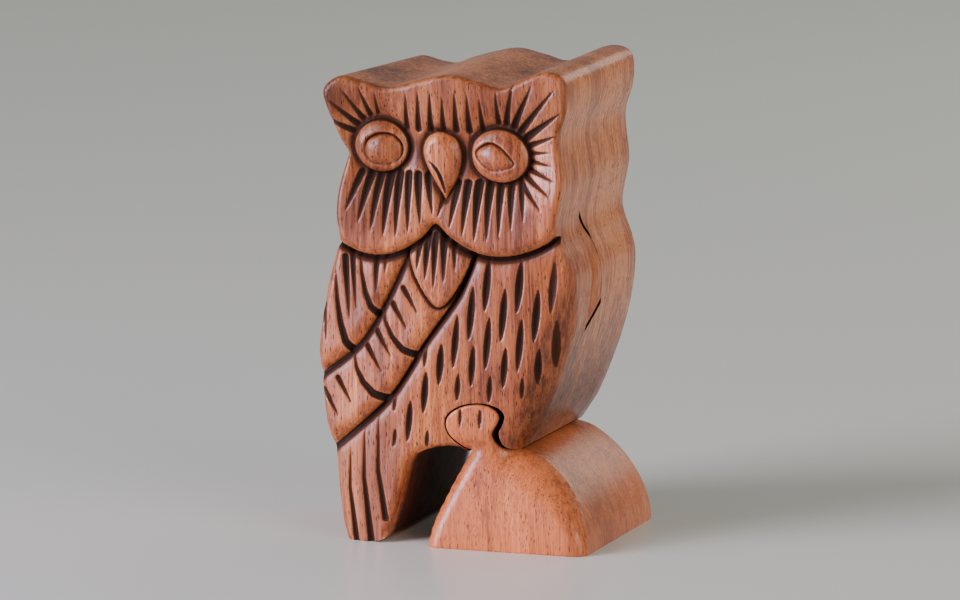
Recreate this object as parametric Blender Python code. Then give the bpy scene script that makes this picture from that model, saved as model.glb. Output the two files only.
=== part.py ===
"""An owl-shaped puzzle box sawn from one block of hardwood, standing upright.

The owl faces -Y and its outline is sawn straight through the block along Y. A rock under its
right foot carries a jigsaw knob that slides along Y in a socket in the owl's underside. A
dovetail-shaped drawer runs across the belly along X, flush with both flanks.
"""

import math

import bmesh
import bpy
from mathutils import Vector

# Overall sizes, in metres. The owl spans X, its sawn depth is Y and it stands along Z.
OWL_WIDTH = 0.0842
OWL_HEIGHT = 0.1516
DEPTH = 0.0670
OWL_CENTRE_X = -0.0028  # the owl stands a little left of the middle, to leave room for the rock
EDGE_ROUND = 0.0018

# What the bandsaw leaves between two pieces.
KERF = 0.0007
DRAWER_GAP = 0.0004

# The owl's underside, its heel, and the tail that reaches the table.
UNDERSIDE_Z = 0.0330
HEEL_FROM_SIDE = 0.0183
TAIL_FROM_SIDE = 0.0085
TAIL_WIDTH = 0.0135
TAIL_TIP_RISE = 0.0022

# The rock and its jigsaw knob, whose neck stands off to the right of its middle.
ROCK_WIDTH = 0.0536
ROCK_LEFT_RUN = 0.0150  # how far the left slope runs out from the neck to the table
ROCK_SHOULDER = 0.0060  # how far the top runs out past the owl's heel before it falls away
ROCK_ROUND = 0.0030
KNOB_FROM_HEEL = 0.0127
KNOB_RISE = 0.0133
KNOB_HALF_WIDTH = 0.0080
KNOB_HALF_HEIGHT = 0.0060
NECK_OFFSET = 0.0022
NECK_HALF_WIDTH = 0.0042

# The drawer's section, from its front face: wide in front, narrow at the back.
DRAWER_FROM_FRONT = 0.0236
DRAWER_BOTTOM_Z = 0.0690
DRAWER_HEIGHT = 0.0340
DRAWER_TOP_DEPTH = 0.0070
DRAWER_BOTTOM_DEPTH = 0.0110
TOP_SLOPE_DROP = 0.0080
BOTTOM_SLOPE_RISE = 0.0075
POCKET_LENGTH = 0.0520
POCKET_HEIGHT = 0.0150
POCKET_DEPTH = 0.0055
POCKET_FLOOR_WALL = 0.0045

OVERCUT = 0.0100  # how far a cutter runs out past the face it starts from
CURVE_STEPS = 4
ROUND_SEGMENTS = 2
KNOB_STEPS = 20

OWL_LEFT_X = OWL_CENTRE_X - OWL_WIDTH / 2
HEEL_X = OWL_CENTRE_X + OWL_WIDTH / 2 - HEEL_FROM_SIDE
TAIL_LEFT_X = OWL_LEFT_X + TAIL_FROM_SIDE
KNOB_X = HEEL_X - KNOB_FROM_HEEL
NECK_X = KNOB_X + NECK_OFFSET
DRAWER_FRONT_Y = DRAWER_FROM_FRONT - DEPTH / 2

# The owl's outline above its underside: X as a share of half its width from its centre line,
# Z as a share of the height above the underside. It runs from heel to head to tail.
RIGHT_SIDE = [
    (0.651, 0.038), (0.768, 0.120), (0.884, 0.223), (0.966, 0.329), (1.000, 0.430),
    (0.976, 0.489), (0.898, 0.573), (0.937, 0.662), (0.954, 0.708), (0.925, 0.818),
    (0.985, 0.894), (0.998, 0.949),
]
HEAD_TOP = [
    (0.969, 0.984), (0.874, 1.000), (0.482, 0.953), (0.068, 0.979), (-0.421, 0.942), (-0.775, 0.967),
]
LEFT_SIDE = [
    (-0.884, 0.957), (-0.961, 0.926), (-0.930, 0.877), (-0.826, 0.796), (-0.772, 0.763),
    (-0.787, 0.742), (-0.857, 0.662), (-0.877, 0.595), (-0.850, 0.541), (-0.884, 0.481),
    (-0.954, 0.371), (-1.000, 0.245), (-0.995, 0.202), (-0.981, 0.126), (-0.954, 0.034),
]
# The arch between tail and rock: shares of the way from tail to neck and of the way up.
ARCH = [
    (0.080, 0.345), (0.162, 0.710), (0.278, 0.898), (0.461, 0.962), (0.660, 0.992), (1.000, 1.000),
]


def smooth_curve(points, steps=CURVE_STEPS):
    """Points along a Catmull-Rom curve that passes through each given point."""
    curve = []
    ends = [points[0]] + list(points) + [points[-1]]
    for before, start, end, after in zip(ends, ends[1:], ends[2:], ends[3:]):
        for step in range(steps):
            t = step / steps
            curve.append(tuple(
                0.5 * (2 * b + (c - a) * t + (2 * a - 5 * b + 4 * c - d) * t ** 2
                       + (3 * b - a - 3 * c + d) * t ** 3)
                for a, b, c, d in zip(before, start, end, after)
            ))
    return curve + [tuple(points[-1])]


def on_owl(shares):
    """Outline points of the owl's upper part, from shares of its size to metres."""
    rise = OWL_HEIGHT - UNDERSIDE_Z
    return [(OWL_CENTRE_X + x * OWL_WIDTH / 2, UNDERSIDE_Z + z * rise) for x, z in shares]


def owl_outline():
    """The owl seen from the front, counter-clockwise: heel, head, tail and the arch."""
    upper = smooth_curve([(HEEL_X, UNDERSIDE_Z)] + on_owl(RIGHT_SIDE + HEAD_TOP + LEFT_SIDE))
    tail_right = TAIL_LEFT_X + TAIL_WIDTH
    tail = smooth_curve([
        (TAIL_LEFT_X - 0.40 * TAIL_FROM_SIDE, 0.79 * UNDERSIDE_Z),
        (TAIL_LEFT_X - 0.33 * TAIL_FROM_SIDE, 0.45 * UNDERSIDE_Z),
        (TAIL_LEFT_X, 0.0),
    ])
    span = NECK_X - tail_right
    rise = UNDERSIDE_Z - TAIL_TIP_RISE
    arch = smooth_curve([(tail_right, TAIL_TIP_RISE)] + [
        (tail_right + x * span, TAIL_TIP_RISE + z * rise) for x, z in ARCH
    ])
    return upper + tail + [(tail_right - 0.4 * TAIL_WIDTH, 0.0)] + arch


def rock_outline():
    """The rock seen from the front, counter-clockwise from its right corner."""
    left_top = NECK_X - NECK_HALF_WIDTH
    left = left_top - ROCK_LEFT_RUN
    right = left + ROCK_WIDTH
    top = UNDERSIDE_Z - KERF
    shoulder = HEEL_X + ROCK_SHOULDER
    reach = right - shoulder
    flank = smooth_curve([
        (right, 0.0), (right - 0.22 * reach, 0.37 * top), (right - 0.55 * reach, 0.66 * top),
        (shoulder, 0.87 * top), (HEEL_X, top),
    ])
    slope = smooth_curve([(left_top, top), (left + 0.68 * ROCK_LEFT_RUN, 0.75 * top), (left, 0.0)])
    return flank + slope


def knob_outline(grow=0.0):
    """The jigsaw knob and its neck, every side moved out by grow, counter-clockwise."""
    half_width = KNOB_HALF_WIDTH + grow
    half_height = KNOB_HALF_HEIGHT + grow
    neck_left = NECK_X - NECK_HALF_WIDTH - grow
    neck_right = NECK_X + NECK_HALF_WIDTH + grow
    centre_z = UNDERSIDE_Z + KNOB_RISE - KNOB_HALF_HEIGHT
    start = -math.acos((neck_right - KNOB_X) / half_width)
    end = math.tau - math.acos((neck_left - KNOB_X) / half_width)
    sweep = end - start
    head = [
        (KNOB_X + half_width * math.cos(start + sweep * step / KNOB_STEPS),
         centre_z + half_height * math.sin(start + sweep * step / KNOB_STEPS))
        for step in range(KNOB_STEPS + 1)
    ]
    foot = UNDERSIDE_Z - KNOB_HALF_HEIGHT
    return [(neck_right, foot)] + head + [(neck_left, foot)]


def drawer_section(grow=0.0):
    """The drawer's four corners as (Y, Z), every side moved out by grow."""
    top = DRAWER_BOTTOM_Z + DRAWER_HEIGHT
    corners = [
        Vector((DRAWER_FRONT_Y, DRAWER_BOTTOM_Z)),
        Vector((DRAWER_FRONT_Y + DRAWER_BOTTOM_DEPTH, DRAWER_BOTTOM_Z + BOTTOM_SLOPE_RISE)),
        Vector((DRAWER_FRONT_Y + DRAWER_TOP_DEPTH, top - TOP_SLOPE_DROP)),
        Vector((DRAWER_FRONT_Y, top)),
    ]
    grown = []
    for before, corner, after in zip(corners[-1:] + corners, corners, corners[1:] + corners[:1]):
        arriving = (corner - before).normalized()
        leaving = (after - corner).normalized()
        outward = Vector((arriving.y + leaving.y, -arriving.x - leaving.x)).normalized()
        grown.append(corner + outward * grow / outward.dot(Vector((arriving.y, -arriving.x))))
    return [tuple(corner) for corner in grown]


def wood(name, colour, roughness):
    material = bpy.data.materials.new(name)
    material.use_nodes = True
    shader = material.node_tree.nodes["Principled BSDF"]
    shader.inputs["Base Color"].default_value = (*colour, 1.0)
    shader.inputs["Roughness"].default_value = roughness
    shader.inputs["Metallic"].default_value = 0.0
    return material


def prism(name, corners, direction):
    """An object with the polygon of 3-D corners, extruded along direction."""
    mesh = bpy.data.meshes.new(name)
    shape = bmesh.new()
    face = shape.faces.new([shape.verts.new(corner) for corner in corners])
    made = bmesh.ops.extrude_face_region(shape, geom=[face])["geom"]
    moved = [item for item in made if isinstance(item, bmesh.types.BMVert)]
    bmesh.ops.translate(shape, verts=moved, vec=direction)
    bmesh.ops.recalc_face_normals(shape, faces=shape.faces)
    shape.to_mesh(mesh)
    shape.free()
    piece = bpy.data.objects.new(name, mesh)
    bpy.context.scene.collection.objects.link(piece)
    return piece


def sawn_through(name, outline, depth=DEPTH):
    """A front-view outline sawn straight through the block along Y."""
    return prism(name, [(x, -depth / 2, z) for x, z in outline], (0.0, depth, 0.0))


def round_rims(piece, width):
    """Rounds the sawn outline's front and back rims, which stand at right angles."""
    bevel = piece.modifiers.new("sanded_rims", "BEVEL")
    bevel.width = width
    bevel.segments = ROUND_SEGMENTS
    bevel.limit_method = "ANGLE"
    bevel.angle_limit = math.radians(70)
    bevel.use_clamp_overlap = True


def combine(piece, other, operation):
    boolean = piece.modifiers.new(f"{operation.lower()}_{other.name}", "BOOLEAN")
    boolean.operation = operation
    boolean.solver = "EXACT"
    boolean.object = other
    other.hide_render = True
    other.display_type = "WIRE"


def finish(piece, material):
    piece.data.materials.append(material)
    piece.data.shade_smooth()
    piece.data.set_sharp_from_angle(angle=math.radians(35))


def build_owl_body():
    body = sawn_through("owl_body", owl_outline())
    round_rims(body, EDGE_ROUND)
    combine(body, sawn_through("socket_cutter", knob_outline(KERF), DEPTH + 2 * OVERCUT), "DIFFERENCE")
    length = OWL_WIDTH + 2 * OVERCUT
    section = [(OWL_CENTRE_X - length / 2, y, z) for y, z in drawer_section(DRAWER_GAP)]
    combine(body, prism("channel_cutter", section, (length, 0.0, 0.0)), "DIFFERENCE")
    finish(body, wood("owl_wood", (0.36, 0.15, 0.075), 0.42))
    return body


def build_rock_base():
    rock = sawn_through("rock_base", rock_outline())
    round_rims(rock, ROCK_ROUND)
    combine(rock, sawn_through("knob_shape", knob_outline()), "UNION")
    finish(rock, wood("rock_wood", (0.45, 0.20, 0.10), 0.38))
    return rock


def build_secret_drawer():
    """The drawer follows the owl's outline at both ends, because both were sanded together."""
    length = OWL_WIDTH + 2 * OVERCUT
    section = [(OWL_CENTRE_X - length / 2, y, z) for y, z in drawer_section()]
    drawer = prism("secret_drawer", section, (length, 0.0, 0.0))
    combine(drawer, sawn_through("outline_trim", owl_outline()), "INTERSECT")
    left = OWL_CENTRE_X - POCKET_LENGTH / 2
    right = OWL_CENTRE_X + POCKET_LENGTH / 2
    start_y = DRAWER_FRONT_Y - OVERCUT
    low = DRAWER_BOTTOM_Z + POCKET_FLOOR_WALL
    high = low + POCKET_HEIGHT
    pocket = [(left, start_y, low), (right, start_y, low), (right, start_y, high), (left, start_y, high)]
    reach = (0.0, OVERCUT + POCKET_DEPTH, 0.0)
    combine(drawer, prism("pocket_cutter", pocket, reach), "DIFFERENCE")
    finish(drawer, wood("drawer_wood", (0.33, 0.14, 0.07), 0.48))
    return drawer


def build():
    for existing in list(bpy.data.objects):
        bpy.data.objects.remove(existing, do_unlink=True)
    build_owl_body()
    build_rock_base()
    build_secret_drawer()


build()
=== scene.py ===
# %% [markdown]
# # An owl puzzle box
# The real object is one block of hardwood. A bandsaw cut the owl's outline straight through it, then a
# jigsaw knob and a dovetail drawer, and the carver worked only the front with knife and gouge. So every
# piece here starts as a sawn outline with depth, and the looks come from the carving and from the wood.

# %% Load the frame
import math

import bpy
import numpy as np
from mathutils import Matrix, Vector, kdtree, noise
from mathutils.geometry import delaunay_2d_cdt


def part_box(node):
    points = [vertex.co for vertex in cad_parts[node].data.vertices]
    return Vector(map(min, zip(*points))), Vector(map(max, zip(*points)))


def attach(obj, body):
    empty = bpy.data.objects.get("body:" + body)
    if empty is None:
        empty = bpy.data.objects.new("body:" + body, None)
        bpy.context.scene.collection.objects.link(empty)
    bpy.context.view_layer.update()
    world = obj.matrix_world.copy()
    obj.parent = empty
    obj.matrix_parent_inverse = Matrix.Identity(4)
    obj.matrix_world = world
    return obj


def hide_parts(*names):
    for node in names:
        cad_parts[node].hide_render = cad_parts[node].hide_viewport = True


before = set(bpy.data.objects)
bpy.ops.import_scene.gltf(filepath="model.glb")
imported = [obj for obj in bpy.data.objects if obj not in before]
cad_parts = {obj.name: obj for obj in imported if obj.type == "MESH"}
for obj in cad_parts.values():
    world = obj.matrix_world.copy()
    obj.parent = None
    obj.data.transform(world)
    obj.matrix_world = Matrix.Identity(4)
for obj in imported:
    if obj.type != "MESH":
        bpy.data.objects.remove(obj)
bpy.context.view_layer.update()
MM = 0.001
owl_low, owl_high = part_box("owl_body")
FRONT_Y = owl_low.y / MM
BACK_Y = owl_high.y / MM
print("block from", FRONT_Y, "to", BACK_Y, "mm")

# %% [markdown]
# ## Camera, light and floor
# The owl is seen from the side of its own left wing, 20 degrees round and 10 degrees up, through a long
# lens that keeps the block's edges nearly parallel. A long lens far away does that; a short one close by
# would spread the block.

# %% Camera
VIEW_YAW = math.radians(20.18)
VIEW_PITCH = math.radians(9.86)
VIEW_ROLL = math.radians(-0.49)
VIEW_DISTANCE = 2.512
LENS_MM = 300
AIM = Vector((-0.0003, -0.0035, 0.074))


def add_camera():
    forward = Vector((
        -math.sin(VIEW_YAW) * math.cos(VIEW_PITCH),
        math.cos(VIEW_YAW) * math.cos(VIEW_PITCH),
        -math.sin(VIEW_PITCH),
    ))
    right = Vector((math.cos(VIEW_YAW), math.sin(VIEW_YAW), 0))
    up = right.cross(forward)
    turn = Matrix((right, up, -forward)).transposed() @ Matrix.Rotation(VIEW_ROLL, 3, "Z")
    data = bpy.data.cameras.new("camera")
    data.lens = LENS_MM
    data.sensor_width = 36
    data.clip_end = 20
    camera = bpy.data.objects.new("camera", data)
    bpy.context.scene.collection.objects.link(camera)
    camera.matrix_world = Matrix.Translation(AIM - forward * VIEW_DISTANCE) @ turn.to_4x4()
    bpy.context.scene.camera = camera
    return camera


camera = add_camera()
print("camera at", tuple(round(v, 3) for v in camera.location))

# %% [markdown]
# ## Light
# Soft daylight from a window at the left gives waxed ridges a cool sheen, and a warmer, weaker light on the
# right opens the flank. The light behind catches the top and the rock's shoulder. A real studio would use two
# softboxes and a reflector; area lights and one wide sun do the same.


# %% Lights
def add_light(name, place, target, size, power, colour):
    data = bpy.data.lights.new(name, "AREA")
    data.shape = "RECTANGLE"
    data.size, data.size_y = size
    data.energy = power
    data.color = colour
    light = bpy.data.objects.new(name, data)
    bpy.context.scene.collection.objects.link(light)
    light.location = place
    light.rotation_euler = (Vector(target) - Vector(place)).to_track_quat("-Z", "Y").to_euler()
    return light


MIDDLE = (0, 0, 0.08)
add_light("window_left", (-0.80, -0.74, 0.26), MIDDLE, (0.7, 0.5), 25, (0.82, 0.73, 1.0))
add_light("window_behind", (0.50, 1.10, 0.58), MIDDLE, (0.9, 0.6), 3.2, (1.0, 0.93, 0.82))
fill = add_light("fill_right", (1.1, -0.7, 0.45), MIDDLE, (0.9, 0.9), 12, (1.0, 0.88, 0.76))
fill.data.specular_factor = 0.2
daylight = bpy.data.lights.new("daylight", "SUN")
daylight.energy = 1.6
daylight.angle = math.radians(28)
daylight.color = (1.0, 0.96, 0.90)
sky = bpy.data.objects.new("daylight", daylight)
bpy.context.scene.collection.objects.link(sky)
sky.rotation_euler = Vector((0.62, 0.62, -0.62)).to_track_quat("-Z", "Y").to_euler()

world = bpy.data.worlds.new("studio")
world.use_nodes = True
world.node_tree.nodes["Background"].inputs["Color"].default_value = (0.80, 0.83, 0.80, 1)
world.node_tree.nodes["Background"].inputs["Strength"].default_value = 0.32
bpy.context.scene.world = world

# %% [markdown]
# ## Floor
# A plain pale table, so the wood's own colours show. It isn't part of the object and is only staged.


# %% Floor
def add_floor():
    bpy.ops.object.select_all(action="DESELECT")
    bpy.ops.mesh.primitive_plane_add(size=12, location=(0, 0, 0))
    floor = bpy.context.object
    floor.name = "floor"
    material = bpy.data.materials.new("pale_floor")
    material.use_nodes = True
    shader = material.node_tree.nodes["Principled BSDF"]
    shader.inputs["Base Color"].default_value = (0.62, 0.64, 0.61, 1)
    shader.inputs["Roughness"].default_value = 0.35
    floor.data.materials.append(material)
    return floor


floor = add_floor()


# %% [markdown]
# ## Outlines
# A sawn outline needs few points: the curve that passes through them is the saw's smooth path. All
# outline and carving sizes are in millimetres, seen from the front, X to the right and Z up.


# %% Curves
def smooth_curve(points, spacing=0.45, closed=False):
    """Evenly spaced points along the Catmull-Rom curve through the given points."""
    points = np.array(points, float)
    if closed:
        ends = np.vstack([points[-1:], points, points[:2]])
    else:
        ends = np.vstack([points[:1], points, points[-1:]])
    t = np.linspace(0, 1, 24, endpoint=False)[:, None]
    fine = []
    for a, b, c, d in zip(ends, ends[1:], ends[2:], ends[3:]):
        fine.append(0.5 * (2 * b + (c - a) * t + (2 * a - 5 * b + 4 * c - d) * t ** 2
                           + (3 * b - a - 3 * c + d) * t ** 3))
    fine = np.vstack(fine + ([points[:1]] if closed else [points[-1:]]))
    run = np.concatenate([[0], np.cumsum(np.hypot(*np.diff(fine, axis=0).T))])
    count = max(2, int(round(run[-1] / spacing)))
    stations = np.linspace(0, run[-1], count + 1)
    even = np.column_stack([np.interp(stations, run, fine[:, k]) for k in (0, 1)])
    return even[:-1] if closed else even


def join(*curves):
    """One closed outline from curves that each start where the last one ended."""
    loop = []
    for curve in curves:
        for point in curve:
            if not loop or np.hypot(*(point - loop[-1])) > 0.12:
                loop.append(point)
    if np.hypot(*(loop[0] - loop[-1])) < 0.12:
        loop.pop()
    return np.array(loop)


print("curve test: 3 points become", len(smooth_curve([(0, 0), (5, 2), (10, 0)])))

# %% [markdown]
# ## The owl's outline
# The real outline was drawn on the block and followed with a bandsaw: two ears, a neck, a full belly, a tail
# on the left and an arch that leads to the socket. It could be one loop, but the sides, the arch and the
# socket are kept apart, because each gets a rim of its own.


# %% The owl's outline
RIGHT_SIDE = [
    (21.0, 31.6), (24.0, 36.0), (26.5, 39.9), (29.8, 47.2), (34.3, 59.0), (37.8, 72.0), (39.2, 84.0),
    (38.2, 91.0),
    (35.0, 101.0), (36.6, 111.5), (37.3, 117.0), (36.1, 130.0), (38.6, 139.0), (39.1, 145.5),
]
HEAD_TOP = [(37.9, 149.7), (34.0, 151.4), (28.5, 150.6), (17.8, 146.0), (9.5, 147.6), (0.7, 149.3),
            (-8.0, 147.7), (-19.5, 144.7), (-27.5, 146.1), (-34.1, 147.7)]
LEFT_SIDE = [
    (-38.4, 146.5), (-41.3, 142.8), (-40.0, 137.0), (-36.0, 127.4), (-33.9, 123.5), (-34.3, 121.0),
    (-36.6, 111.5), (-37.3, 103.6), (-36.6, 97.2), (-39.0, 90.0), (-42.6, 77.0), (-44.8, 62.1),
    (-44.7, 57.0), (-44.1, 47.9), (-42.8, 37.0),
]
TAIL_LEFT = [(-42.8, 37.0), (-41.0, 31.0), (-39.9, 25.6), (-39.0, 14.8), (-37.7, 5.6), (-36.2, 0.5),
             (-35.2, 0.0)]
TAIL_TIP = [(-35.2, 0.0), (-29.0, 0.0), (-23.4, 1.2), (-21.8, 3.4)]
ARCH = [(-21.8, 3.4), (-18.8, 12.1), (-15.8, 23.3), (-13.7, 27.6), (-11.0, 29.6), (-6.5, 31.2), (-1.0, 31.8),
        (2.4, 31.2), (4.4, 30.3)]
SOCKET = [
    (4.4, 30.3), (2.0, 32.0), (-0.4, 34.1), (-2.3, 36.7), (-2.8, 39.7), (-1.5, 42.5), (1.6, 44.7),
    (5.2, 45.9), (8.9, 46.3), (12.3, 46.0), (15.7, 44.7), (17.1, 42.5), (16.3, 39.6), (15.1, 37.3),
    (15.4, 35.0), (16.6, 33.0), (18.7, 31.7), (21.0, 31.6),
]
owl_sides = join(smooth_curve(RIGHT_SIDE + HEAD_TOP + LEFT_SIDE), smooth_curve(TAIL_LEFT))
owl_outline = join(
    smooth_curve(RIGHT_SIDE + HEAD_TOP + LEFT_SIDE), smooth_curve(TAIL_LEFT), smooth_curve(TAIL_TIP),
    smooth_curve(ARCH), smooth_curve(SOCKET, 0.3),
)
owl_outline[:, 1] = np.maximum(owl_outline[:, 1], 0)
print("owl outline:", len(owl_outline), "points")

# %% [markdown]
# ## The rock's outline
# The rock is one sawn piece with a jigsaw knob on its top. The knob keeps half a millimetre or so off the
# socket all round, which is the saw's kerf.


# %% The rock's outline
KNOB = [
    (4.9, 30.3), (2.3, 32.4), (-0.1, 34.4), (-1.9, 36.9), (-2.4, 39.6), (-1.2, 42.1), (1.8, 44.2),
    (5.3, 45.4), (8.9, 45.7), (11.8, 45.2), (14.3, 43.7), (15.1, 41.7), (14.2, 39.4), (12.8, 37.0),
    (13.0, 35.0), (14.4, 32.6), (16.6, 31.3), (19.5, 30.9),
]
ROCK_RIGHT = [
    (44.2, 0.0), (44.2, 2.4), (43.7, 5.5), (42.6, 9.2), (40.9, 13.0), (38.7, 16.7), (35.9, 20.4),
    (32.4, 24.0),
    (28.4, 27.2), (24.2, 29.6), (19.5, 30.9),
]
ROCK_LEFT = [(4.9, 30.3), (0.6, 22.4), (-3.1, 15.0), (-6.5, 7.6), (-8.6, 0.0)]
ROCK_BASE = [(-8.6, 0.0), (15.0, 0.0), (44.2, 0.0)]
rock_outline = join(
    smooth_curve(ROCK_RIGHT), smooth_curve(KNOB[::-1], 0.3), smooth_curve(ROCK_LEFT), smooth_curve(ROCK_BASE),
)
rock_outline[:, 1] = np.maximum(rock_outline[:, 1], 0)
print("rock outline:", len(rock_outline), "points")

# %% [markdown]
# ## Carving as a depth map
# A carver takes wood away from the flat front of the block. Boolean cutters could do it, one for each
# stroke, but they leave knife-sharp lips that no bevel can round. Here the front is a fine board of
# points, and each stroke is a formula for how deep the wood goes at a point. Layers overlap as on the
# real bird: mask over feathers, upper feathers over lower ones, and all of them over the belly.


# %% Distances
def to_path(points, path):
    """Each point's distance to a path of straight runs, and the share of the way along it."""
    path = np.array(path, float)
    lengths = np.hypot(*np.diff(path, axis=0).T)
    before = np.concatenate([[0], np.cumsum(lengths)])
    best = np.full(len(points), 1e9)
    share = np.zeros(len(points))
    for start, end, length, run in zip(path, path[1:], lengths, before):
        t = np.clip(((points - start) @ (end - start)) / length ** 2, 0, 1)
        gap = np.hypot(*(points - start - t[:, None] * (end - start)).T)
        nearer = gap < best
        best[nearer] = gap[nearer]
        share[nearer] = ((run + t * length) / before[-1])[nearer]
    return best, share


def inside(points, loop):
    """True for the points inside a closed loop."""
    found = np.zeros(len(points), bool)
    x, z = points.T
    for (x0, z0), (x1, z1) in zip(loop, np.roll(loop, -1, axis=0)):
        if z0 == z1:
            continue
        crosses = ((z0 > z) != (z1 > z)) & (x < (x1 - x0) * (z - z0) / (z1 - z0) + x0)
        found ^= crosses
    return found


def nearest(points, samples):
    """Each point's distance to the nearest of many closely spaced samples."""
    tree = kdtree.KDTree(len(samples))
    for index, (x, z) in enumerate(samples):
        tree.insert((x, z, 0), index)
    tree.balance()
    return np.array([tree.find((x, z, 0))[2] for x, z in points])


def rounding(distance, radius):
    """How far a rounded edge falls back at a distance from it."""
    short = np.clip(1 - distance / radius, 0, 1)
    return radius * (1 - np.sqrt(1 - short ** 2))


def ramp(value, low, high):
    """0 below low, 1 above high, and a smooth step between."""
    t = np.clip((value - low) / (high - low), 0, 1)
    return t * t * (3 - 2 * t)


print("rounding at the rim and 1 mm in:", rounding(np.array([0.0, 1.0]), 2.0).round(2))

# %% [markdown]
# ## Strokes of the knife
# On the real owl every line is one or two passes of a knife: wedges round the eyes, long lenses on the belly,
# curved cuts between the feathers. A texture could draw them, but then the outline and the light would miss
# them, so each stroke is a path and is cut into the wood.


# %% Strokes of the knife
LEFT_EYE, RIGHT_EYE = np.array([-22.4, 126.0]), np.array([16.7, 124.5])
EYE_ROOM = 10.4  # how far from an eye's middle its strokes begin


def fan(eye, angles, reaches, count):
    """Strokes that point away from an eye. A reach is read between the reaches given at the angles."""
    strokes = []
    for index, angle in enumerate(np.linspace(angles[0], angles[-1], count)):
        reach = np.interp(-angle, [-a for a in angles], reaches) * (0.93 + 0.14 * ((index * 0.618) % 1))
        ray = np.array([math.cos(math.radians(angle)), math.sin(math.radians(angle))])
        strokes.append([tuple(eye + ray * (EYE_ROOM + reach)), tuple(eye + ray * EYE_ROOM)])
    return strokes


def comb(left_x, right_x, top_z, length, lean, count):
    """Strokes side by side, longest in the middle. Lean is how far the first one's point goes left."""
    strokes = []
    for share in np.linspace(0, 1, count):
        x, drop = left_x + (right_x - left_x) * share, length * (0.62 + 0.38 * math.sin(math.pi * share))
        strokes.append([(x - lean * (1 - 1.4 * share), top_z - drop), (x, top_z)])
    return strokes


def brow(left_x, right_x, top_z, bottom_z, count):
    """Short upright wedges between the eyes."""
    places = np.linspace(left_x, right_x, count)
    return [[(x, top_z + 0.9 * math.sin(x)), (x + 0.03 * x, bottom_z)] for x in places]


BROW_STROKES = fan(LEFT_EYE, (155, 128, 96), (13, 12, 7), 5) + brow(-13.7, 10.6, 143.6, 132.0, 7)
BROW_STROKES += fan(RIGHT_EYE, (92, 45, 5, -50), (11, 18, 6, 12), 11)
CHEEK_STROKES = comb(-29.0, -7.0, 117.6, 20.0, 5.0, 8) + comb(-0.5, 23.6, 115.6, 18.0, 3.0, 8)

def scallop(left, low, right):
    """An edge that hangs between two ends, each half a parabola about its lowest point."""
    points = []
    for x in np.linspace(left[0], right[0], 11):
        end = left if x < low[0] else right
        points.append((x, low[1] + (end[1] - low[1]) * ((x - low[0]) / (end[0] - low[0])) ** 2))
    return points


CUSP = (-4.7, 102.2)
MASK_EDGE = scallop((-44.0, 101.5), (-24.5, 91.5), CUSP) + scallop(CUSP, (15.0, 92.8), (36.0, 100.4))[1:]
MASK_EDGE.append((44.0, 101.0))
UPPER_WING_EDGE = [(-12.0, 97.0), (-19.0, 82.5), (-26.5, 69.0), (-33.5, 60.8), (-46.0, 51.5)]
LOWER_WING_EDGE = [(8.4, 96.0), (2.0, 80.5), (-9.0, 65.0), (-22.0, 46.0), (-44.0, 27.0)]
BREAST_FEATHER = [(-14.6, 97.0), (-11.0, 84.5), (-3.6, 76.0), (4.5, 86.0), (8.4, 97.0)]


def upon(edge, share):
    """The point that lies a share of the way along an edge."""
    curve = smooth_curve(edge, 0.3)
    return curve[int(share * (len(curve) - 1))]


def seam(edge, share, width, height):
    """The line between two feathers: upright at first, then it curls down to the edge."""
    end = upon(edge, share)
    steps = (1, 0.75, 0.5, 0.25, 0)
    return [tuple(end + (-width * math.sin(t * math.pi / 2), height * t ** 1.6)) for t in steps]


def barbs(edge, shares, above, run):
    """Strokes on the feathers, from a point above the edge up to the row before."""
    starts = [upon(edge, share) + above for share in shares]
    return [[tuple(start), tuple(start + run)] for start in starts]


def belly_strokes(gap_x=5.3, gap_z=18.5, lean=1.9):
    """Long lenses set like bricks below the wing's edge, shorter towards the foot."""
    edge = smooth_curve(LOWER_WING_EDGE, 0.5)[::-1]
    strokes = []
    for column, x in enumerate(np.arange(-18.8, 38.0, gap_x)):
        roof = min(97 if x > 9 else np.interp(x, edge[:, 0], edge[:, 1]) - 2.5, 92.5)
        floor = 46.5 if -5 < x < 19 else (31 if x < -5 else 44 + 0.9 * (x - 19))
        for top in np.arange(92.5 - (column % 2) * gap_z / 2, floor + 5, -gap_z):
            high, low = min(top, roof), max(top - gap_z * (0.92 if top > 70 else 0.72), floor)
            if high - low > 4.5:
                strokes.append([(x, high), (x - lean * (high - low) / gap_z, low)])
    return strokes


BELLY_STROKES = belly_strokes()
TAIL_STROKES = [
    [(x, top), (x - 0.4, 0.55 * top), (x + 1.9, low)]
    for x, top, low in ((-34.3, 31, -1), (-29.4, 37, 0), (-24.5, 42, 8))
]
FEATHER_SEAMS = [seam(UPPER_WING_EDGE, 0.47, 5.6, 21), seam(UPPER_WING_EDGE, 0.73, 5.0, 25)]
FEATHER_SEAMS += [seam(LOWER_WING_EDGE, 0.47, 10.5, 16.5), seam(LOWER_WING_EDGE, 0.67, 10.5, 15.0)]
FEATHER_STROKES = barbs(UPPER_WING_EDGE, (0.26, 0.38), (-2.8, 2.3), (0.3, 11))
FEATHER_STROKES += barbs(UPPER_WING_EDGE, (0.56, 0.63, 0.82), (-4.4, 5.3), (-1.2, 20))
FEATHER_STROKES += barbs(LOWER_WING_EDGE, (0.34, 0.41, 0.53, 0.60, 0.77, 0.84), (-5.0, 3.6), (-4.8, 8.2))
BREAST_STROKES = [[(x, 81.4 + 0.95 * abs(x + 4.6)), (0.85 * x, 99.0)] for x in (-10.8, -8.0, -5.2, -1.8, 2.0)]
KNOB_STROKES = [[(x + 0.3, 44.5), (x, 38.2)] for x in (2.3, 8.8)]
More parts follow.
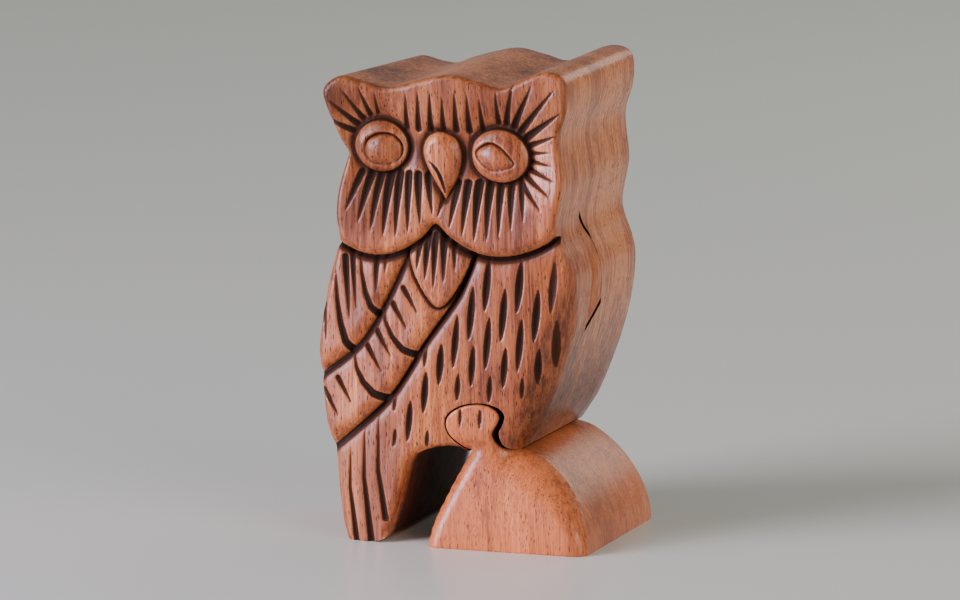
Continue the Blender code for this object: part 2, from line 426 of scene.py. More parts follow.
print(len(BROW_STROKES + CHEEK_STROKES), "strokes on the mask,", len(BELLY_STROKES), "on the belly")


# %% [markdown]
# ## How a stroke and a layer cut
# A stroke has sloping walls, a flat bottom and a width that runs out at its ends. A layer, such as the mask
# or a row of feathers, stands proud of what it covers and has a gouged trench along its edge.


# %% How a stroke and a layer cut
def carve_strokes(points, strokes, half_width, steepness, taper):
    """Depth of a set of chip cuts. A wedge opens from its first point on, a lens is widest in its middle."""
    depth = np.zeros(len(points))
    for index, path in enumerate(strokes):
        path = np.array(path, float)
        near = np.all((points > path.min(0) - 3) & (points < path.max(0) + 3), axis=1)
        if not near.any():
            continue
        gap, share = to_path(points[near], path)
        hand = half_width * (0.88 + 0.24 * ((index * 0.618) % 1))
        hand = min(hand, 0.25 + 0.075 * np.hypot(*(path[-1] - path[0])))
        if taper == "wedge":
            width = hand * (0.10 + 0.90 * np.clip(share, 0, 1) ** 0.75)
        elif taper == "point":
            width = hand * (0.08 + 0.92 * np.clip(share * 1.2, 0, 1) ** 0.7)
        else:
            width = hand * (0.06 + 0.94 * np.sin(np.pi * np.clip(share, 0, 1)) ** 0.6)
        wall = steepness * np.clip(width - gap, 0, None)
        floor = 0.35 + 0.72 * width
        depth[near] = np.maximum(depth[near], floor * (1 - np.exp(-1.5 * wall / floor)))
    return depth


def trench(gap, deepest, width):
    """A gouged channel along an edge, with a round bottom."""
    return deepest / (1 + (gap / width) ** 3)


def layer(points, edge, closing):
    """Which points an open edge and its closing points enclose, and their distance to the edge."""
    edge = smooth_curve(edge, 0.3)
    loop = np.vstack([edge, np.array(closing, float)])
    return inside(points, loop), nearest(points, edge)


def oval(points, centre, half_sizes, tilt):
    """Share of the way from an oval's centre to its rim, 1 on the rim."""
    turned = points - np.array(centre)
    c, s = math.cos(tilt), math.sin(tilt)
    x = (turned[:, 0] * c + turned[:, 1] * s) / half_sizes[0]
    z = (-turned[:, 0] * s + turned[:, 1] * c) / half_sizes[1]
    return np.hypot(x, z)


print("a trench 2.6 mm deep, 1 mm from its edge:", round(float(trench(np.array([1.0]), 2.6, 1.3)[0]), 2))

# %% [markdown]
# ## The owl's front
# The layers go on from the back to the front: belly and tail, lower feathers, upper feathers, breast, mask,
# then eyes and beak. Each one adds its own depth, as the carver works down from the face.


# %% The owl's front
EYES = {
    "left": {"centre": LEFT_EYE, "size": (9.4, 8.6), "tilt": 0.0},
    "right": {"centre": RIGHT_EYE, "size": (10.1, 8.8), "tilt": -0.14},
}
LIDS = {
    "left": [(-27.6, 124.6), (-26.6, 128.0), (-22.6, 130.1), (-18.0, 129.6), (-15.4, 126.6), (-15.9, 122.8),
             (-18.9, 120.6), (-23.4, 120.5), (-26.4, 121.8)],
    "right": [(8.9, 125.0), (11.2, 127.5), (14.5, 128.5), (18.2, 126.6), (21.6, 122.4), (18.8, 120.7),
              (15.2, 120.0), (11.6, 121.7)],
}
BEAK = [(-2.4, 131.8), (-6.0, 130.8), (-8.1, 128.3), (-8.8, 124.6), (-7.4, 120.2), (-4.9, 115.8),
        (-2.6, 112.0), (-1.0, 109.7), (0.7, 112.6), (2.9, 116.6), (4.3, 121.3), (4.3, 125.8), (2.4, 129.8)]
BEAK_SLIT = [(-6.2, 122.5), (-3.4, 119.8), (-1.7, 116.2), (-1.0, 112.0)]


def owl_front(points):
    """How deep the wood lies behind the block's front at each point, and how dark: a stain with painted shade
    in the cuts, painted shade in trenches and moats.
    """
    x, z = points.T
    # The body turns away to the left under the wing, and the belly towards the flank and the foot.
    turned = 2.8 * np.clip((-x - 6) / 37, 0, 1) ** 1.5
    depth = 2.0 + turned + 3.5 * np.clip((x - 18) / 21, 0, 1) ** 2.0 * (1 - ramp(z, 86, 101))
    depth += 2.4 * (1 - ramp(z, 30, 62)) * ramp(x, -16, 2)
    faded = 1 - 0.75 * ramp(x, 29, 37)
    cuts = carve_strokes(points, BELLY_STROKES, 1.2, 1.9, "lens") * faded
    cuts = np.maximum(cuts, carve_strokes(points, TAIL_STROKES, 1.25, 1.8, "wedge"))
    depth = depth + cuts
    # Darkness in the strokes is a stain with painted shade; in each layer's trench below it is painted shadow
    # under the layer's edge.
    dark = cuts.copy()

    covered, gap = layer(points, LOWER_WING_EDGE, [(-60, 27), (-60, 110), (8.4, 110)])
    feathers = carve_strokes(points, FEATHER_STROKES, 1.15, 1.8, "point")
    seams = carve_strokes(points, FEATHER_SEAMS, 1.45, 2.0, "wedge")
    wing = 1.1 + np.maximum(feathers, seams) + turned
    depth = np.where(covered, wing + 0.7 * rounding(gap, 4.5), depth + trench(gap, 2.6, 1.3))
    dark = np.where(covered, np.maximum(feathers, seams), np.maximum(dark, trench(gap, 2.6, 1.0)))

    covered, gap = layer(points, UPPER_WING_EDGE, [(-60, 51.5), (-60, 110), (-12, 110)])
    wing = 0.5 + np.maximum(feathers, seams) + turned
    depth = np.where(covered, wing + 0.7 * rounding(gap, 4.5), depth + trench(gap, 2.1, 1.2))
    dark = np.where(covered, np.maximum(feathers, seams), np.maximum(dark, trench(gap, 2.4, 1.0)))

    covered, gap = layer(points, BREAST_FEATHER, [(8.4, 110), (-14.6, 110)])
    breast = carve_strokes(points, BREAST_STROKES, 1.35, 1.9, "point")
    depth = np.where(covered, 0.9 + breast + rounding(gap, 2.0), depth + trench(gap, 0.9, 0.9))
    dark = np.where(covered, breast, np.maximum(dark, trench(gap, 1.2, 0.5)))

    covered, gap = layer(points, MASK_EDGE, [(60, 101), (60, 170), (-60, 170), (-60, 101)])
    strokes = np.maximum(
        carve_strokes(points, BROW_STROKES, 1.35, 1.9, "wedge"),
        carve_strokes(points, CHEEK_STROKES, 1.5, 1.8, "point"),
    )
    mask = 0.3 + strokes + rounding(gap, 3.4)
    for eye in EYES.values():
        away = np.clip(oval(points, eye["centre"], eye["size"], eye["tilt"]) - 1, 0, None) * 9
        mask += 2.3 * np.exp(-(away / 7.5) ** 1.5)
    depth = np.where(covered, np.minimum(mask, 5.2), depth + trench(gap, 2.7, 1.4))
    dark = np.where(covered, strokes, np.maximum(dark, trench(gap, 2.4, 1.1)))

    # Painted shade round each eye: on its rim, in the moat and along the lid line.
    for side, eye in EYES.items():
        reach = oval(points, eye["centre"], eye["size"], eye["tilt"])
        out = (reach - 1) * min(eye["size"])
        moat = 1.5 * np.exp(-np.clip(out, 0, None) / 1.6)
        ball = 4.5 - 4.3 * np.sqrt(np.clip(1 - reach ** 2, 0, 1)) ** 0.9
        depth = np.where(out < 0, ball, depth + moat)
        rim_dark = np.maximum(dark, 0.8 * np.exp(-np.clip(out, 0, None) / 0.8))
        dark = np.where(out < 0, 1.5 * ramp(reach, 0.9, 1.0), rim_dark)
        lid = smooth_curve(LIDS[side], 0.2, closed=True)
        within, gap = inside(points, lid), nearest(points, lid)
        heavy = 0.68 + 0.32 * np.tanh((points - eye["centre"]) @ np.array([0.12, 0.34]))
        line = heavy * np.exp(-(gap / 0.42) ** 2)
        depth += 0.9 * line + np.where(within, (0.4 + 0.8 * heavy) * np.exp(-gap / 1.6), 0.0)
        dark = np.maximum(dark, 0.5 * line)

    beak = smooth_curve(BEAK, 0.2, closed=True)
    covered, gap = inside(points, beak), nearest(points, beak)
    girth = 3.4 + 2.6 * ramp(x, -4, 2)
    swell = np.sqrt(np.clip(1 - np.clip(1 - gap / girth, 0, 1) ** 2, 0, 1))
    moat = 1.8 * np.exp(-gap / 1.6)
    depth = np.where(covered, 4.4 - 4.4 * swell, np.minimum(depth + moat, 5.5))
    # Painted shade along the beak's edge and in the moat round it; the slit is stained and shaded like the
    # other cuts.
    dark = np.where(covered, np.clip(1.2 - 2.0 * gap, 0, None), np.maximum(dark, 0.25 * moat))
    slit = carve_strokes(points, [smooth_curve(BEAK_SLIT, 1.0)], 0.75, 2.2, "lens")
    depth += slit
    dark = np.maximum(dark, 1.6 * slit)
    return np.clip(depth, 0, 9.5), dark


two_places = np.array([(5.0, 62.0), (-22.0, 126.0)])
print("depth on the belly and in the left eye:", owl_front(two_places)[0].round(2))

# %% [markdown]
# ## From outline to solid
# A bevelled curve or a sculpted cube was the first thought. Neither keeps a sawn wall straight while a
# hundred cuts of their own width meet a rounded rim, so these pieces are built from points instead.
# A sawn and carved piece is a front board, a back board and the sawn walls between them. The boards are
# triangulated inside the outline, with rows of points that follow the rim, so the rim rounds cleanly,
# and the walls join the two rims point by point.


# %% Boards and walls
RIM_ROWS = (0.12, 0.34, 0.66, 1.1, 1.6)


def board_points(outline, spacing, extra=()):
    """Points inside an outline: rows along its rim, a hexagonal grid, and extra rows along carved edges."""
    along = np.roll(outline, -1, axis=0) - np.roll(outline, 1, axis=0)
    inward = np.column_stack([-along[:, 1], along[:, 0]])
    inward /= np.hypot(*inward.T)[:, None]
    rows = np.vstack([outline + inward * step for step in RIM_ROWS])
    steps = np.repeat(RIM_ROWS, len(outline))
    rows = rows[nearest(rows, outline) > 0.85 * steps]
    low, high = outline.min(0), outline.max(0)
    grid = []
    for row, z in enumerate(np.arange(low[1], high[1], spacing * 0.866)):
        shift = spacing / 2 if row % 2 else 0
        grid += [(x + shift, z) for x in np.arange(low[0], high[0], spacing)]
    grid = np.array(grid)
    grid = grid[inside(grid, outline)]
    grid = grid[nearest(grid, outline) > RIM_ROWS[-1] + 0.5 * spacing]
    found = [rows, grid]
    for edge in extra:
        edge = smooth_curve(edge, 0.35)
        along = np.gradient(edge, axis=0)
        across = np.column_stack([-along[:, 1], along[:, 0]]) / np.hypot(*along.T)[:, None]
        lines = np.vstack([edge + across * 0.07, edge - across * 0.07])
        lines = lines[inside(lines, outline)]
        found.append(lines[nearest(lines, outline) > 0.3])
    return np.vstack(found)


def triangulate(outline, points):
    """Points and triangles of a board. The outline's points keep their places at the start."""
    count = len(outline)
    corners = [Vector(p) for p in np.vstack([outline, points])]
    rim = [(i, (i + 1) % count) for i in range(count)]
    made = delaunay_2d_cdt(corners, rim, [], 1, 1e-6)
    places, faces, sources = made[0], made[2], made[3]
    order = np.full(count, -1)
    for index, source in enumerate(sources):
        for old in source:
            if old < count:
                order[old] = index
    return np.array([tuple(p) for p in places]), faces, order


def spread(values, faces, rounds):
    """Each value averaged with its neighbours' values, over and over."""
    corners = np.array([tuple(f) for f in faces])
    pairs = np.vstack([corners[:, [0, 1]], corners[:, [1, 2]], corners[:, [2, 0]]])
    a, b = pairs[:, 0], pairs[:, 1]
    count = np.bincount(a, minlength=len(values)) + np.bincount(b, minlength=len(values))
    for _ in range(rounds):
        total = np.bincount(a, values[b], len(values)) + np.bincount(b, values[a], len(values))
        values = 0.5 * values + 0.5 * total / np.maximum(count, 1)
    return values


def sawn_piece(name, outline, front, back_radius, spacing, edges=(), wall_shade=None, settle=None):
    """A closed solid from an outline and a function for the front's cuts, darkness and rounded rim."""
    board, faces, rim = triangulate(outline, board_points(outline, spacing, edges))
    carved, dark, rim_fall, stain_and_shade = front(board)
    carved = spread(carved, faces, 1)
    depth = np.maximum(carved + rim_fall, 0)
    # How far a point lies below its neighbourhood; the wood is painted darker there as shade in recesses.
    hollow_shade = carved - spread(carved, faces, 60)
    crest = spread(carved, faces, 5) - carved
    places = [(x, FRONT_Y + d, z) for (x, z), d in zip(board, depth)]
    polygons = [tuple(face) for face in faces]
    # Values for the wood's colour: stain and painted shade in cuts, painted shade in recesses and other dark
    # places, and the crests.
    shade = {"cut": list(dark), "hollow_shade": list(hollow_shade), "crest": list(crest), "painted_shade": list(stain_and_shade)}

    back, back_faces, back_rim = triangulate(outline, board_points(outline, 2.4))
    fall = rounding(nearest(back, outline), back_radius)
    start = len(places)
    places += [(x, BACK_Y - f, z) for (x, z), f in zip(back, fall)]
    polygons += [tuple(start + i for i in face[::-1]) for face in back_faces]
    for values in shade.values():
        values += [0.0] * len(back)

    previous = rim
    for share in (0.014, 0.06, 0.15, 0.3, 0.5, 0.7, 0.88, None):
        if share is None:
            row = back_rim + start
        else:
            row = np.arange(len(places), len(places) + len(outline))
            for low, high in zip(rim, back_rim + start):
                a, b = np.array(places[low]), np.array(places[high])
                places.append(tuple(a + (b - a) * share))
            for values in shade.values():
                values += [0.0] * len(outline)
            if wall_shade:
                kerf, shadow = wall_shade(outline, share)
                shade["cut"][-len(outline):] = list(kerf)
                shade["painted_shade"][-len(outline):] = list(shadow)
        for i in range(len(outline)):
            j = (i + 1) % len(outline)
            polygons.append((previous[j], previous[i], row[i], row[j]))
        previous = row

    places = np.array(places)
    if settle:
        places = settle(places)
    mesh = bpy.data.meshes.new(name)
    mesh.from_pydata(places * MM, [], [tuple(int(i) for i in p) for p in polygons])
    mesh.update()
    for title, values in shade.items():
        attribute = mesh.attributes.new(title, "FLOAT", "POINT")
        attribute.data.foreach_set("value", np.array(values, np.float32))
    piece = bpy.data.objects.new(name, mesh)
    bpy.context.scene.collection.objects.link(piece)
    print(name, len(places), "points,", len(polygons), "faces")
    return piece


def edit(piece):
    """Selects only this piece, as a person would before working on it."""
    bpy.ops.object.select_all(action="DESELECT")
    piece.select_set(True)
    bpy.context.view_layer.objects.active = piece


def tidy_mesh(piece, angle=55):
    edit(piece)
    bpy.ops.object.mode_set(mode="EDIT")
    bpy.ops.mesh.select_all(action="SELECT")
    bpy.ops.mesh.remove_doubles(threshold=0.000001)
    bpy.ops.mesh.normals_make_consistent(inside=False)
    bpy.ops.object.mode_set(mode="OBJECT")
    bpy.ops.object.shade_smooth_by_angle(angle=math.radians(angle))


print("rows of points along a rim:", RIM_ROWS, "mm in")

# %% [markdown]
# ## The owl
# The owl's front is carved and its walls keep the plain saw cut. The rim is rounded more where the belly
# turns into the flank. Shade is painted into the wood where little light reaches, in the arch, the kerf and
# under the belly, and on the face's left half, its top and beside the beak. The tail is darker low down.


# %% Saw and carve the owl
arch_rim = smooth_curve(ARCH, 0.4)


def owl_surface(points):
    carved, dark = owl_front(points)
    x, z = points.T
    radius = 1.8 + 7.5 * (1 - ramp(z, 66, 94)) * ramp(x, 10, 22)
    radius += 1.0 * (1 - ramp(z, 84, 98)) * ramp(-x, 10, 30)
    fall = rounding(nearest(points, owl_sides), radius)
    fall += rounding(nearest(points, arch_rim), 2.6)
    hand = np.array([noise.noise((px * 0.22, pz * 0.09, 3.0)) + 0.5 * noise.noise((px * 0.9, pz * 0.16, 8.0))
                     for px, pz in points])
    return carved + 0.12 * hand, dark, fall, dark_places(points)


socket_rim = smooth_curve(SOCKET, 0.3)


def undercut(points):
    """Painted shade on the lower right of the belly and flank, where they draw in above the rock."""
    x, z = points.T
    return 0.65 * ramp(x, 12, 30) * (1 - ramp(z, 40, 72))


def dark_places(points):
    """Painted shade on the left half and the top of the face, on both sides of the beak and under the belly;
    the tail is darker low down.
    """
    x, z = points.T
    ear = 1.0 * np.exp(-((x + 39) / 15) ** 2 - ((z - 141) / 13) ** 2)
    left_face = 0.62 * (1 - ramp(x, -26, -4)) * ramp(z, 92, 104)
    brow = 0.5 * ramp(z, 126, 135)
    corner = 0.85 * np.exp(-((x + 11) / 3.4) ** 2 - ((z - 124) / 8) ** 2)
    beak_side = 0.6 * np.exp(-((x - 5) / 2.4) ** 2 - ((z - 120) / 8) ** 2)
    tail = 0.28 * (1 - ramp(z, 30, 50)) * (1 - ramp(x, -20, -10))
    return np.max([undercut(points), ear, left_face, brow, corner, beak_side, tail], axis=0)


def owl_walls(outline, share):
    """The arch, the socket's kerf and the drawn-in flank get painted shade."""
    arch = 0.6 * (1 - ramp(nearest(outline, arch_rim), 0.5, 3.0)) * min(1, share * 5)
    kerf = 0.6 * (nearest(outline, socket_rim) < 0.4)
    return np.maximum(arch, kerf), undercut(outline)


def worn_ear(places):
    """Sanding took the left ear down a little towards the back."""
    x, y, z = places.T
    share = ramp(z, 128, 145) * (1 - ramp(x, -30, -14)) * (y - FRONT_Y) / (BACK_Y - FRONT_Y)
    places[:, 2] -= 2.2 * share
    places[:, 0] += 3.0 * share
    return places


owl = sawn_piece(
    "carved_owl", owl_outline, owl_surface, 1.8, 0.39,
    [MASK_EDGE, UPPER_WING_EDGE, LOWER_WING_EDGE, BREAST_FEATHER], owl_walls, worn_ear,
)
tidy_mesh(owl)

# %% [markdown]
# ## The rock
# The rock has no strokes except two on its knob, which carry the belly's pattern across the joint. Its front
# leans back, and its right shoulder is broadly rounded and polished.


# %% Saw and carve the rock
rock_right_rim = smooth_curve(ROCK_RIGHT, 0.4)
rock_left_rim = smooth_curve(ROCK_LEFT, 0.4)
rock_base_rim = smooth_curve(ROCK_BASE, 0.4)
knob_rim = smooth_curve(KNOB, 0.3)


def rock_surface(points):
    x, z = points.T
    lean = np.clip((z - 1.5) / 30, 0, 1)
    depth = 0.2 + 4.4 * lean ** 1.4 - 1.3 * ramp(z, 31, 36)
    fall = rounding(nearest(points, rock_right_rim), 4.0 + 6.0 * ramp(z, 3, 20))
    fall += rounding(nearest(points, rock_left_rim), 4.5)
    fall += rounding(nearest(points, rock_base_rim), 0.5)
    fall += rounding(nearest(points, knob_rim), 0.8)
    cuts = carve_strokes(points, KNOB_STROKES, 0.7, 1.6, "lens")
    return depth + cuts, cuts, fall, 0 * z


# Painted shade on the wall along the knob's kerf.
def rock_walls(outline, share):
    return 0.6 * (nearest(outline, knob_rim) < 0.4), 0 * outline[:, 0]


rock = sawn_piece("carved_rock", rock_outline, rock_surface, 2.6, 0.6, (), rock_walls)
tidy_mesh(rock)

# %% [markdown]
# ## The hidden drawer
# A bar of dovetail section runs through the belly from flank to flank. Its slanted faces show as two
# black slits, because the saw went through there, and its upright faces fit so closely that they vanish
# in the grain. The black inside the slits is painted shade on the channel's faces.

# %% Drawer and channel
drawer_low, drawer_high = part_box("secret_drawer")
SLIT = 2.2
TOP_BACK = 4.0
(left_y, low_z), (right_y, high_z) = ((v.y / MM, v.z / MM) for v in (drawer_low, drawer_high))
SECTION = [(left_y, low_z), (right_y, low_z + 7.5), (right_y - TOP_BACK, high_z - 8.0), (left_y, high_z)]
CHANNEL = [(left_y - 0.05, low_z - SLIT), (right_y + 0.05, low_z + 7.5 - SLIT),
           (right_y + 0.05 - TOP_BACK, high_z - 8.0 + SLIT), (left_y - 0.05, high_z + SLIT)]


def bar(name, section, left, right):
    """A straight bar along X with the given section of Y and Z."""
    places = [(x * MM, y * MM, z * MM) for x in (left, right) for y, z in section]
    n = len(section)
    sides = [(i, (i + 1) % n, n + (i + 1) % n, n + i) for i in range(n)]
    mesh = bpy.data.meshes.new(name)
    mesh.from_pydata(places, [], sides + [tuple(range(n))[::-1], tuple(range(n, 2 * n))])
    piece = bpy.data.objects.new(name, mesh)
    bpy.context.scene.collection.objects.link(piece)
    edit(piece)
    bpy.ops.object.mode_set(mode="EDIT")
    bpy.ops.mesh.select_all(action="SELECT")
    bpy.ops.mesh.normals_make_consistent(inside=False)
    bpy.ops.object.mode_set(mode="OBJECT")
    return piece


def boolean(piece, cutter, operation):
    edit(piece)
    modifier = piece.modifiers.new(operation.lower(), "BOOLEAN")
    modifier.operation = operation
    modifier.solver = "EXACT"
    modifier.object = cutter
    bpy.ops.object.modifier_apply(modifier=modifier.name)
    bpy.data.objects.remove(cutter, do_unlink=True)


boolean(owl, bar("channel", CHANNEL, -60, 60), "DIFFERENCE")
tidy_mesh(owl)


def darken_channel(piece):
    """Paints shade on the channel's faces and moves the darkness to the face corners, so that it can stop
    sharply at the channel's mouth.
    """
    mesh = piece.data
    by_point = np.zeros(len(mesh.vertices), np.float32)
    mesh.attributes["cut"].data.foreach_get("value", by_point)
    corners = np.zeros(len(mesh.loops), np.int32)
    mesh.loops.foreach_get("vertex_index", corners)
    by_corner = by_point[corners]
    for face in mesh.polygons:
        middle = face.center / MM
        inner = left_y - 0.2 < middle.y < right_y + 0.2 and abs(face.normal.x) < 0.3
        if inner and low_z - SLIT - 0.2 < middle.z < high_z + SLIT + 0.2 and abs(middle.x) < 41:
            by_corner[face.loop_start:face.loop_start + face.loop_total] = 0.9
    mesh.attributes.remove(mesh.attributes["cut"])
    attribute = mesh.attributes.new("cut", "FLOAT", "CORNER")
    attribute.data.foreach_set("value", by_corner)


darken_channel(owl)
print("owl after the channel:", len(owl.data.polygons), "faces")

# %% [markdown]
# ## The drawer itself
# The same section, smaller by the fit, makes the drawer. Its ends follow the flanks and its pocket is routed
# in the wide face. Nothing of the inside can be seen on the real one, so the pocket is a plain one.


# %% The drawer
drawer = bar("hidden_drawer", SECTION, -60, 60)
trim_foot = np.array([(-30.0, 36.0), (10.0, 36.0)])
trim_outline = join(smooth_curve(RIGHT_SIDE + HEAD_TOP + LEFT_SIDE, 1.2), trim_foot)
trim = bar("trim", [(0, 0)] * 3, 0, 0)
trim.data.clear_geometry()
count = len(trim_outline)
trim.data.from_pydata(
    [(x * MM, y * MM, z * MM) for y in (-40, 40) for x, z in trim_outline], [],
    [(i, (i + 1) % count, count + (i + 1) % count, count + i) for i in range(count)]
    + [tuple(range(count))[::-1], tuple(range(count, 2 * count))],
)
edit(trim)
bpy.ops.object.mode_set(mode="EDIT")
bpy.ops.mesh.select_all(action="SELECT")
bpy.ops.mesh.normals_make_consistent(inside=False)
bpy.ops.object.mode_set(mode="OBJECT")
boolean(drawer, trim, "INTERSECT")
edit(drawer)
POCKET_SIZE = (0.052, 0.0105, 0.015)
POCKET_MIDDLE = (-2.8 * MM, (left_y + 0.25) * MM, 81 * MM)
bpy.ops.mesh.primitive_cube_add(size=1, location=POCKET_MIDDLE, scale=POCKET_SIZE)
pocket = bpy.context.object
pocket.name = "pocket"
bpy.ops.object.transform_apply(location=True, scale=True)
bevel = pocket.modifiers.new("cutter_radius", "BEVEL")
bevel.width = 0.0028
bevel.segments = 6
bpy.ops.object.modifier_apply(modifier=bevel.name)
boolean(drawer, pocket, "DIFFERENCE")
edit(drawer)
edges = drawer.modifiers.new("broken_edges", "BEVEL")
edges.width = 0.0002
edges.segments = 2
edges.limit_method = "ANGLE"
edges.angle_limit = math.radians(35)
bpy.ops.object.modifier_apply(modifier=edges.name)
tidy_mesh(drawer, 30)
print("drawer", len(drawer.data.polygons), "faces")

# %% [markdown]
# ## Wood
# The real wood is a red-brown tropical hardwood under thin wax: open pores drawn out along the grain, soft
# bands of colour, and old polish in the cuts, which painted shade deepens here. It is made from stretched
# noise and cells in the block's own coordinates, so the grain runs on through carving and edges as it does in
# solid wood. The strokes' depth and the painted shade in recesses and dark places come from values stored
# while carving.


# %% Materials
def hardwood_group():
    """One node group that draws the wood for every piece, from its own place in the block."""
    group = bpy.data.node_groups.new("hardwood", "ShaderNodeTree")
    # The stain colour serves both the stain in the cuts and the painted shade in recesses and kerfs.
    for title, kind, value in (
        ("Pale", "NodeSocketColor", (0.60, 0.22, 0.08, 1)),
        ("Middle", "NodeSocketColor", (0.42, 0.13, 0.04, 1)),
        ("Deep", "NodeSocketColor", (0.15, 0.04, 0.015, 1)),
        ("Stain and shade", "NodeSocketColor", (0.03, 0.008, 0.004, 1)),
        ("Pores", "NodeSocketFloat", 1.0),
        ("Figure", "NodeSocketFloat", 1.0),
        ("Gloss", "NodeSocketFloat", 0.5),
        ("Roughness", "NodeSocketFloat", 0.4),
    ):
        socket = group.interface.new_socket(title, in_out="INPUT", socket_type=kind)
        socket.default_value = value
    for title, kind in (("Colour", "NodeSocketColor"), ("Rough", "NodeSocketFloat"),
                        ("Coat", "NodeSocketFloat"), ("Height", "NodeSocketFloat")):
        group.interface.new_socket(title, in_out="OUTPUT", socket_type=kind)
    nodes, links = group.nodes, group.links
    given, result = nodes.new("NodeGroupInput"), nodes.new("NodeGroupOutput")
    coords = nodes.new("ShaderNodeTexCoord")

    def feed(socket, value):
        if isinstance(value, bpy.types.NodeSocket):
            links.new(value, socket)
        elif isinstance(value, tuple):
            socket.default_value = (*value, 1) if len(socket.default_value) == 4 else value
        else:
            socket.default_value = value

    def math_of(operation, a, b):
        node = nodes.new("ShaderNodeMath")
        node.operation = operation
        feed(node.inputs[0], a)
        feed(node.inputs[1], b)
        return node.outputs[0]

    def mix(factor, a, b, blend="MIX"):
        node = nodes.new("ShaderNodeMix")
        node.data_type = "RGBA"
        node.blend_type = blend
        feed(node.inputs[0], factor)
        feed(node.inputs[6], a)
        feed(node.inputs[7], b)
        return node.outputs[2]

    def ranged(value, low, high, to_low=0.0, to_high=1.0):
        node = nodes.new("ShaderNodeMapRange")
        node.interpolation_type = "SMOOTHSTEP"
        feed(node.inputs["Value"], value)
        for title, number in (("From Min", low), ("From Max", high), ("To Min", to_low), ("To Max", to_high)):
            feed(node.inputs[title], number)
        return node.outputs["Result"]

    def shade_of(title):
        node = nodes.new("ShaderNodeAttribute")
        node.attribute_name = title
        return node.outputs["Fac"]

    # The grain wanders a little, as a tree does.
    wander = nodes.new("ShaderNodeTexNoise")
    wander.inputs["Scale"].default_value = 22
    wander.inputs["Detail"].default_value = 1
    links.new(coords.outputs["Object"], wander.inputs["Vector"])
    drift = nodes.new("ShaderNodeVectorMath")
    drift.operation = "MULTIPLY_ADD"
    links.new(wander.outputs["Color"], drift.inputs[0])
    drift.inputs[1].default_value = (0.004, 0.004, 0.0)
    links.new(coords.outputs["Object"], drift.inputs[2])

    def stretched(scale):
        mapping = nodes.new("ShaderNodeMapping")
        mapping.inputs["Scale"].default_value = scale
        links.new(drift.outputs[0], mapping.inputs["Vector"])
        return mapping.outputs["Vector"]

    def noise_of(scale, detail, roughness=0.5):
        node = nodes.new("ShaderNodeTexNoise")
        node.inputs["Scale"].default_value = 1
        node.inputs["Detail"].default_value = detail
        node.inputs["Roughness"].default_value = roughness
        links.new(stretched(scale), node.inputs["Vector"])
        return node.outputs["Fac"]

    def pores_of(scale, size, share):
        node = nodes.new("ShaderNodeTexVoronoi")
        node.inputs["Scale"].default_value = 1
        links.new(stretched(scale), node.inputs["Vector"])
        split = nodes.new("ShaderNodeSeparateColor")
        links.new(node.outputs["Color"], split.inputs[0])
        present = ranged(split.outputs[0], 1 - share, 1 - share + 0.02)
        return math_of("MULTIPLY", ranged(node.outputs["Distance"], size * 0.55, size, 1.0, 0.0), present)

    broad = noise_of((32, 32, 9), 2)
    figure = noise_of((210, 210, 9), 5, 0.6)
    streak = noise_of((900, 900, 26), 3, 0.6)
    fibre = noise_of((2600, 2600, 90), 2)
    tone = math_of("ADD", math_of("MULTIPLY", broad, 0.45),
                   math_of("ADD", math_of("MULTIPLY", figure, 0.35), math_of("MULTIPLY", streak, 0.35)))
    contrast = math_of("MULTIPLY", math_of("SUBTRACT", tone, 0.575), given.outputs["Figure"])
    tone = math_of("ADD", 0.575, contrast)
    colour = mix(ranged(tone, 0.46, 0.58), given.outputs["Pale"], given.outputs["Middle"])
    colour = mix(ranged(tone, 0.57, 0.70), colour, given.outputs["Deep"])
    colour = mix(ranged(fibre, 0.42, 0.60, 0.0, 0.45), colour, (0.60, 0.46, 0.40), "MULTIPLY")
    colour = mix(ranged(shade_of("crest"), 0.03, 0.30, 0.0, 0.45), colour, given.outputs["Pale"])

    fine = pores_of((2300, 2300, 420), 0.34, 0.6)
    coarse = pores_of((1150, 1150, 230), 0.25, 0.5)
    both = math_of("MAXIMUM", math_of("MULTIPLY", fine, 0.75), coarse)
    pore = math_of("MULTIPLY", both, given.outputs["Pores"])
    colour = mix(pore, colour, (0.045, 0.013, 0.007))

    # Painted shade where the surface draws in or faces away from the light.
    colour = mix(shade_of("painted_shade"), colour, (0.15, 0.12, 0.08), "MULTIPLY")

    # Painted shade in recesses, and a stain with painted shade in the cuts; the deepest cuts are painted near
    # black as shade.
    recess = ranged(shade_of("hollow_shade"), 0.05, 1.7, 0.0, 0.95)
    cut = ranged(shade_of("cut"), 0.0, 0.32, 0.0, 0.96)
    hidden = math_of("MAXIMUM", recess, cut)
    colour = mix(hidden, colour, given.outputs["Stain and shade"])
    colour = mix(ranged(shade_of("cut"), 0.3, 1.1, 0.0, 0.9), colour, (0.010, 0.004, 0.002))

    links.new(colour, result.inputs["Colour"])
    rough = math_of("ADD", given.outputs["Roughness"], ranged(streak, 0.35, 0.65, -0.04, 0.07))
    links.new(math_of("ADD", rough, math_of("MULTIPLY", hidden, 0.3)), result.inputs["Rough"])
    bare = math_of("SUBTRACT", 1.0, math_of("MAXIMUM", hidden, math_of("MULTIPLY", pore, 0.8)))
    waxed = ranged(shade_of("painted_shade"), 0.0, 1.0, 1.0, 0.25)
    bare = math_of("MULTIPLY", bare, waxed)
    links.new(math_of("MULTIPLY", given.outputs["Gloss"], bare), result.inputs["Coat"])
    ridges = math_of("MULTIPLY", math_of("ADD", fibre, streak), 0.5)
    links.new(math_of("SUBTRACT", ridges, pore), result.inputs["Height"])
    return group


hardwood = hardwood_group()


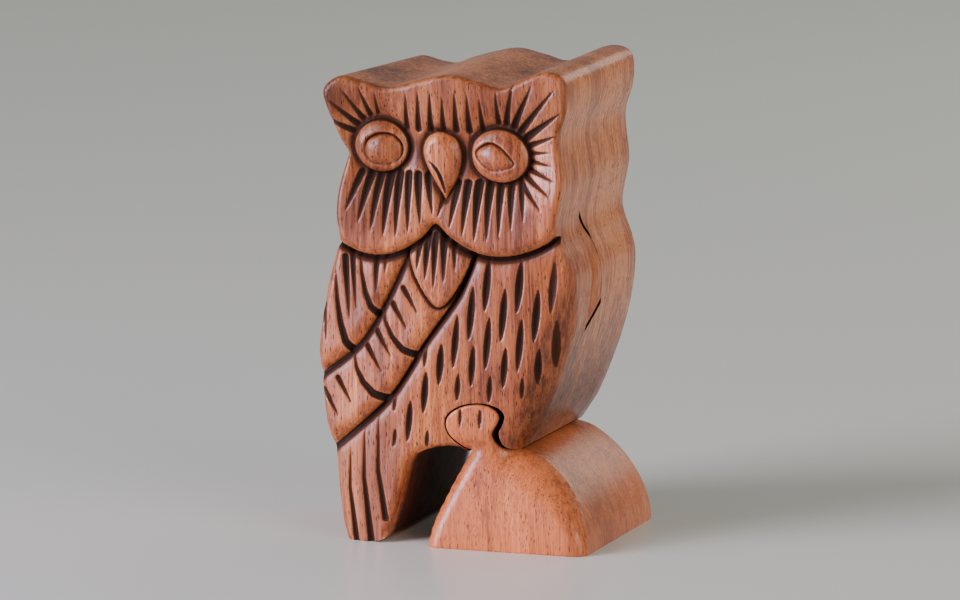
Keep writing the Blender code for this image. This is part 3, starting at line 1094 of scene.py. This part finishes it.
def wood_material(name, pale, middle, deep, stain_and_shade, pores, figure, gloss, roughness):
    material = bpy.data.materials.new(name)
    material.use_nodes = True
    nodes, links = material.node_tree.nodes, material.node_tree.links
    shader = nodes["Principled BSDF"]
    wood = nodes.new("ShaderNodeGroup")
    wood.node_tree = hardwood
    for title, value in (("Pale", pale), ("Middle", middle), ("Deep", deep), ("Stain and shade", stain_and_shade)):
        wood.inputs[title].default_value = (*value, 1)
    for title, value in (("Pores", pores), ("Figure", figure), ("Gloss", gloss), ("Roughness", roughness)):
        wood.inputs[title].default_value = value
    bump = nodes.new("ShaderNodeBump")
    bump.inputs["Strength"].default_value = 0.5
    bump.inputs["Distance"].default_value = 0.00025
    links.new(wood.outputs["Colour"], shader.inputs["Base Color"])
    links.new(wood.outputs["Rough"], shader.inputs["Roughness"])
    links.new(wood.outputs["Coat"], shader.inputs["Coat Weight"])
    links.new(wood.outputs["Height"], bump.inputs["Height"])
    links.new(bump.outputs["Normal"], shader.inputs["Normal"])
    shader.inputs["IOR"].default_value = 1.22
    shader.inputs["Coat Roughness"].default_value = 0.25
    return material


# The fourth colour of each wood is its stain and painted shade.
owl_wood = wood_material("owl_wood", (0.60, 0.205, 0.068), (0.36, 0.098, 0.030), (0.13, 0.032, 0.012),
                         (0.040, 0.012, 0.006), 1.0, 1.0, 0.6, 0.40)
rock_wood = wood_material("rock_wood", (0.70, 0.225, 0.082), (0.54, 0.150, 0.048), (0.31, 0.080, 0.026),
                          (0.03, 0.009, 0.005), 0.8, 0.8, 0.5, 0.38)
drawer_wood = wood_material("drawer_wood", (0.56, 0.19, 0.062), (0.36, 0.105, 0.03), (0.15, 0.038, 0.013),
                            (0.03, 0.009, 0.005), 0.8, 0.9, 0.25, 0.5)
owl.data.materials.append(owl_wood)
rock.data.materials.append(rock_wood)
drawer.data.materials.append(drawer_wood)


print("materials:", [m.name for m in (owl_wood, rock_wood, drawer_wood)])

# %% [markdown]
# ## Fastening
# Each carved piece takes the place of the plain one in the frame and rides on the same body, so the joints
# move it.


# %% Fasten the pieces to the frame
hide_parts("owl_body")
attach(owl, "owl")
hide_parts("rock_base")
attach(rock, "rock")
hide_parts("secret_drawer")
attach(drawer, "drawer")


print("fastened:", owl.name, rock.name, drawer.name)
